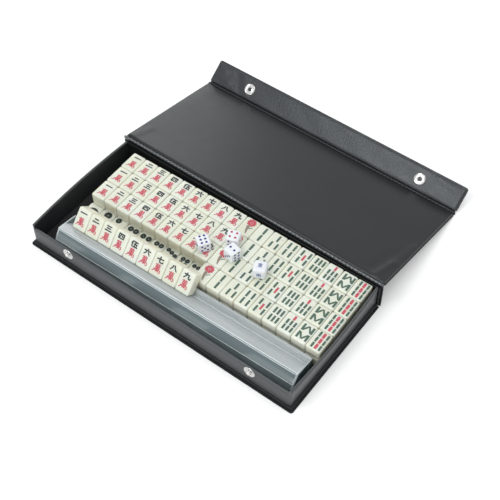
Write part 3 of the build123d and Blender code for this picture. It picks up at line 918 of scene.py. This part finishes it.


# The tiles are one resin throughout; their warmer body colour is painted warm light of the gaps between
# them.
ivory_resin = resin("pressed_ivory_resin", "#e6eae0", "#f0eedd", 0.4)
tile_finishes = [
    ivory_resin,
    paint("dark_green_enamel", "#2c3a36", "#141d1b"),
    paint("green_enamel", "#557060", "#34503f"),
    paint("red_enamel", "#cc5866", "#b93a4c"),
    paint("blue_enamel", "#3b4db0", "#182a84"),
    paint("brown_enamel", "#9a8c7c", "#7d6f62"),
]
FACE_OF = {"circle": circle_face, "honour": honour_face, "bamboo": bamboo_face,
           "character": character_face}
FLAT_SIGNS, LEANING_SIGNS = (1.0, 0), (0, 0.6)  # how far the signs sit off the face's middle
random.seed(8)
for suit, first_column, low, rows in (
    ("circle", 0, LOWER, 4), ("honour", 9, LOWER, 4), ("bamboo", 9, UPPER, 4),
    ("character", 0, UPPER, 3),
):
    for row in range(rows):
        places, drawings = [], []
        for column in range(9):
            across = (first_column + column) * PITCH + ROW_SLIP[row]
            spot = (across, ROWS_BACK - (row + 1) * ROW + (ROW - TILE_LONG) / 2, low)
            nudge = Matrix.Translation((random.uniform(-NUDGE, NUDGE), random.uniform(-NUDGE, NUDGE), 0))
            twist = spun(random.uniform(-TWIST, TWIST), "Z")
            places.append(STACK @ Matrix.Translation(spot) @ nudge @ twist)
            drawings.append(FACE_OF[suit](column, row))
        piece = tile_piece(f"{suit}_tiles_{row + 1}", places, drawings, FLAT_SIGNS)
        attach(piece, "case" if row == 3 else suit + "_tiles")
        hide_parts(f"{suit}_row_{row + 1}")

# Leaning tiles: nine character tiles lean back on the rack with their faces to the front, where
# the player who sits there can read them.
LEAN_START = (10.8, -102.2, 26.0)  # foot of the first tile's face, from the tiles' back left corner
LEAN_PITCH = 14.85
LEAN_BACK = 47
LEAN = spun(LEAN_BACK, "X") @ Matrix.Translation((0, 0, -TILE_THICK))
places = [STACK @ Matrix.Translation(Vector(LEAN_START) + Vector((column * LEAN_PITCH, 0, 0))) @ LEAN
          for column in range(9)]
piece = tile_piece("leaning_tiles_1", places, [character_face(column) for column in range(9)],
                   LEANING_SIGNS)
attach(piece, "leaning_tiles")
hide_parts("leaning_row")

# Rack: one thin folded trough of clear styrene, open underneath, with a plate closing each end. Fine
# moulded lines run along its front where racks stack into each other.
RACK_START = 2.5
RACK_LONG = 264.0
RACK_WALL = 1.2
EDGE_ROUND = 0.4
RACK_VALLEY = (-93.62, 17.6)  # where the leaning tiles stand
RACK_CORNERS = ((-119.5, 4.5), (-119.5, 13.5), (-110.5, 27.3), (-102.54, 25.92), RACK_VALLEY,
                (-88.5, 23.1), (-88.5, 4.5))
RACK_LINES = (0.28, 0.9)  # shares of the sloping front face's height
LINE_HALF, LINE_HIGH = 0.02, 0.22  # half a line's width as such a share, and its height
END_GAP = 0.01  # keeps the trough's ends off the plates


def moved_in(corners, depth):
    """An open outline's corners moved in by depth, the ends straight down."""
    made = []
    for at, here in enumerate(corners):
        before = (Vector(here) - Vector(corners[at - 1])).normalized()
        after = (Vector(corners[(at + 1) % len(corners)]) - Vector(here)).normalized()
        sides = [Vector((way.y, -way.x)) for way in (before, after)]
        mitre = (sides[0] + sides[1]).normalized()
        made.append(Vector(here) + mitre * depth / mitre.dot(sides[0]))
    made[0] = Vector((made[1].x + (corners[0][0] - corners[1][0]), corners[0][1]))
    made[-1] = Vector((corners[-1][0] - depth, corners[-1][1]))
    return made


def styrene(name, tints, clear, haze):
    """Clear styrene: a bluish tint through its thickness and a haze of fine scratches along it."""
    made, tree, shader, own = start_finish(name)
    stretch = add(tree, "Mapping", {"Vector": own, "Scale": (12, 260, 260)})
    flow = noise(tree, stretch.outputs[0], 1.0, 3.0)
    wire(tree, shader, {"Base Color": tinted(tree, flow, *tints), "IOR": 1.59,
                        "Roughness": spread(tree, flow, haze * 0.8, haze * 1.2),
                        "Normal": relief(tree, flow, 0.04), "Transmission Weight": clear})
    return made


# The ridge and the slopes behind it are a whitish haze, partly polish rubbed where racks are stacked and
# tiles slide and partly a painted reflection of the light from behind; elsewhere the moulded surface is
# still clear.
rack_finishes = [
    styrene("clear_moulded_styrene", ("#9fb1b5", "#b2c2c5"), 0.55, 0.05),
    styrene("styrene_rubbed_white", ("#b4bec0", "#e6ebeb"), 0.35, 0.3),
    # Near white for the softened edges: a painted highlight along them.
    styrene("styrene_worn_edge", ("#d3dee0", "#eef4f4"), 0.1, 0.3),
]
outline = [Vector(RACK_CORNERS[0]), Vector(RACK_CORNERS[1])]
low, high = Vector(RACK_CORNERS[1]), Vector(RACK_CORNERS[2])
out = Vector((-(high - low).y, (high - low).x)).normalized()
for share in RACK_LINES:
    at = low.lerp(high, share)
    half = (high - low) * LINE_HALF
    outline += [at - half, at + out * LINE_HIGH, at + half]
outline += [Vector(corner) for corner in RACK_CORNERS[2:]]
ring = outline + moved_in(RACK_CORNERS, RACK_WALL)[::-1]
RACK_END = RACK_START + RACK_LONG
stops = even(RACK_START + RACK_WALL + END_GAP, RACK_END - RACK_WALL - END_GAP, 20)
rings = [[STACK @ Vector((a, b, z)) for b, z in ring] for a in stops]
trough = lofted("rack_trough", rings, rack_finishes, 20)
whitish_from, whitish_to = len(outline) - 5, len(outline) - 2
for at, side in enumerate(trough.data.polygons[:-2]):
    side.material_index = 1 if whitish_from <= at % len(ring) < whitish_to else 0
plate_ring = [corner for corner in RACK_CORNERS if corner != RACK_VALLEY]
plates = []
for at in (RACK_START, RACK_END - RACK_WALL):
    rings = [[STACK @ Vector((a, b, z)) for b, z in plate_ring] for a in (at, at + RACK_WALL)]
    plates.append(lofted("plate", rings, rack_finishes, 20))
rack = joined("rack_moulding", [trough] + plates)
soften = rack.modifiers.new("moulded_edges", "BEVEL")
soften.width = EDGE_ROUND * MM
soften.segments = 2
soften.limit_method = "ANGLE"
soften.angle_limit = radians(40)
soften.material = 2  # the softened edges are near white: a painted highlight
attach(rack, "rack_body")
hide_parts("rack")

# Dice: white urea resin, tumbled round, lying on the tiles. The pips are drilled as shallow cups and
# filled with blue or red enamel; the rounder fourth die carries the winds instead.
DIE, DIE_ROUND = 12.0, 1.5
WIND_DIE, WIND_ROUND = 12.5, 2.4
PIP_STEP = 2.6
CUP_R = 1.15
CUP_DEEP = 0.4
DICE_Z = 28.1
PIPS = {
    1: ((0, 0),), 2: ((-1, 0), (1, 0)), 3: ((-1, -1), (0, 0), (1, 1)),
    4: ((-1, -1), (-1, 1), (1, -1), (1, 1)), 5: ((-1, -1), (-1, 1), (0, 0), (1, -1), (1, 1)),
    6: ((-1.5, -0.8), (0, -0.8), (1.5, -0.8), (-1.5, 0.8), (0, 0.8), (1.5, 0.8)),
}
FACES = ((None, 0), ("X", 180), ("X", 90), ("X", -90), ("Y", 90), ("Y", -90))


def facing(number):
    """Turn that brings the top face's drawing to one of the six faces."""
    axis, turn = FACES[number]
    return spun(turn, axis) if axis else Matrix.Identity(4)


white_resin = resin("white_dice_resin", "#eef1f7", "#e9edf4", 0.2)
die_finishes = [
    white_resin,
    paint("blue_pip_enamel", "#1e1e90", "#0f0f62"),
    paint("red_pip_enamel", "#c22a4c", "#9e0f35"),
]


def die_block(size, radius):
    """Rounded cube of a die, in millimetres about its middle."""
    points, faces = tumbled_block((size,) * 3, radius)
    return [point - Vector((size / 2,) * 3) for point in points], [(face, 0) for face in faces]


for name, x, y, turn, top, front, right, red_numbers in (
    ("die_six_up", -3.9, 8.2, -35, 6, 3, 5, ()),
    ("die_four_up", 14.7, 28.4, 17, 4, 5, 1, (4, 1)),
    ("die_two_up", 23.4, 15.6, -13.5, 2, 3, 6, (4, 1)),
):
    place = Matrix.Translation((x, y, DICE_Z + DIE / 2)) @ spun(turn, "Z")
    points, faces = die_block(DIE, DIE_ROUND)
    die = build(name + "_resin", [place @ point for point in points], faces, die_finishes, 60)
    cups = bmesh.new()
    ball_r = (CUP_R**2 + CUP_DEEP**2) / (2 * CUP_DEEP)
    for number, face in zip((top, 7 - top, front, 7 - front, right, 7 - right), range(6)):
        for step_a, step_b in PIPS[number]:
            at = Vector((step_a * PIP_STEP, step_b * PIP_STEP, DIE / 2 - CUP_DEEP + ball_r))
            spot = Matrix.Scale(MM, 4) @ place @ facing(face) @ Matrix.Translation(at)
            made = bmesh.ops.create_uvsphere(cups, u_segments=28, v_segments=20, radius=ball_r,
                                             matrix=spot)
            for vert in made["verts"]:
                for side in vert.link_faces:
                    side.material_index = 2 if number in red_numbers else 1
    cup_mesh = bpy.data.meshes.new(name + "_cups")
    cups.to_mesh(cup_mesh)
    cups.free()
    for finish in die_finishes:
        cup_mesh.materials.append(finish)
    cutter = put(name + "_cups", cup_mesh)
    drill = die.modifiers.new("drilled_cups", "BOOLEAN")
    drill.operation, drill.object, drill.solver = "DIFFERENCE", cutter, "EXACT"
    bpy.context.view_layer.update()
    drilled = bpy.data.meshes.new_from_object(die.evaluated_get(bpy.context.evaluated_depsgraph_get()))
    die.modifiers.clear()
    die.data = drilled
    drilled.shade_smooth()
    drilled.set_sharp_from_angle(angle=radians(30))
    bpy.data.objects.remove(cutter)
    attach(die, name.replace("_up", "_body"))
    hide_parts(name)
place = Matrix.Translation((54.2, 15.2, DICE_Z + WIND_DIE / 2)) @ spun(23.5, "Z")
points, faces = die_block(WIND_DIE, WIND_ROUND)
points = [place @ point for point in points]
for face, drawing in enumerate((WINDS[0], WINDS[2], WINDS[1], WINDS[3], CENTRE, FORTUNE)):
    for outline in sign(drawing, (0, 0), (4.6, 4.8), 0.55):
        first = len(points)
        lift = place @ facing(face)
        points += [lift @ Vector((spot[0], spot[1], WIND_DIE / 2 + PRINT_UP)) for spot in outline]
        faces.append((tuple(range(first, len(points))), 1))
wind_blue = paint("pale_blue_enamel", "#6a7cae", "#4c5f98")
die = build("wind_die_resin", points, faces, [white_resin, wind_blue], 60)
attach(die, "wind_die_body")
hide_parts("wind_die")

# Table: a plain white sweep under soft studio lamps, a large one high up behind to the left that
# shows in the lid, and one overhead. White where the camera, metal or clear plastic looks at it.
SOFT_LIGHT = 0.64  # strength of the light from all round
FLOOR_GLOW = 0.22  # lifts the paper to white where it is looked at


def seen_sharply(tree):
    """1 where the camera, metal or clear plastic looks and 0 for the light on the object."""
    path = add(tree, "LightPath")
    seen = path.outputs["Is Camera Ray"]
    for ray in ("Is Glossy Ray", "Is Transmission Ray"):
        seen = add(tree, "Math", {0: seen, 1: path.outputs[ray]}, operation="MAXIMUM").outputs[0]
    return seen


floor_white, tree, shader, _ = start_finish("white_paper_sweep")
glow = add(tree, "Math", {0: seen_sharply(tree), 1: FLOOR_GLOW}, operation="MULTIPLY")
wire(tree, shader, {"Base Color": linear("#f4f4f4"), "Roughness": 0.9, "Specular IOR Level": 0.0,
                    "Emission Color": (1, 1, 1, 1), "Emission Strength": glow.outputs[0]})
SWEEP, BELOW = 4000, -0.05
corners = [(x * SWEEP, y * SWEEP, BELOW) for x, y in ((-1, -1), (1, -1), (1, 1), (-1, 1))]
sweep = build("paper_sweep", corners, [((0, 1, 2, 3), 0)], [floor_white])
sweep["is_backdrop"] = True
world = bpy.data.worlds.new("studio")
bpy.context.scene.world = world
world.use_nodes = True
tree = world.node_tree
tree.nodes.clear()
white = add(tree, "Background", {"Color": (1, 1, 1, 1), "Strength": 1.0})
soft = add(tree, "Background", {"Color": (0.98, 0.99, 1, 1), "Strength": SOFT_LIGHT})
both = add(tree, "MixShader", {0: seen_sharply(tree), 1: soft.outputs[0], 2: white.outputs[0]})
add(tree, "OutputWorld", {"Surface": both.outputs[0]})
for name, place, size, power in (
    ("back_left_softbox", (-1.12, 1.2, 0.74), 0.8, 4.0),
    ("overhead_softbox", (0.2, 0.35, 1.6), 0.9, 4.4),
    ("front_softbox", (-0.26, -0.6, 1.2), 0.42, 4.2),
    ("low_front_softbox", (0.1, -1.6, 0.72), 0.8, 5.5),
):
    lamp = bpy.data.lights.new(name, "AREA")
    lamp.shape, lamp.size, lamp.energy = "SQUARE", size, power
    hung = put(name, lamp)
    hung.location = place
    hung.rotation_mode = "QUATERNION"
    hung.rotation_quaternion = (Vector((0, 0.07, 0)) - Vector(place)).to_track_quat("-Z", "Y")

# Camera: looks down at the open case from its front right through a long lens, so that the lid,
# the flap and the front of the rack show together.
FOCUS = Vector((0.01837, 0.04803, 0))
AWAY = 0.97385
azimuth, height = radians(36.91), radians(52.71)
back = Vector((sin(azimuth) * cos(height), -cos(azimuth) * cos(height),
               sin(height)))
lens = bpy.data.cameras.new("camera")
lens.sensor_width = 36
lens.lens = 75.56
camera = put("camera", lens)
camera.location = FOCUS + back * AWAY
camera.rotation_mode = "QUATERNION"
camera.rotation_quaternion = (-back).to_track_quat("-Z", "Y")
bpy.context.scene.camera = camera
bpy.context.scene.view_settings.view_transform = "Standard"

low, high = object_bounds()
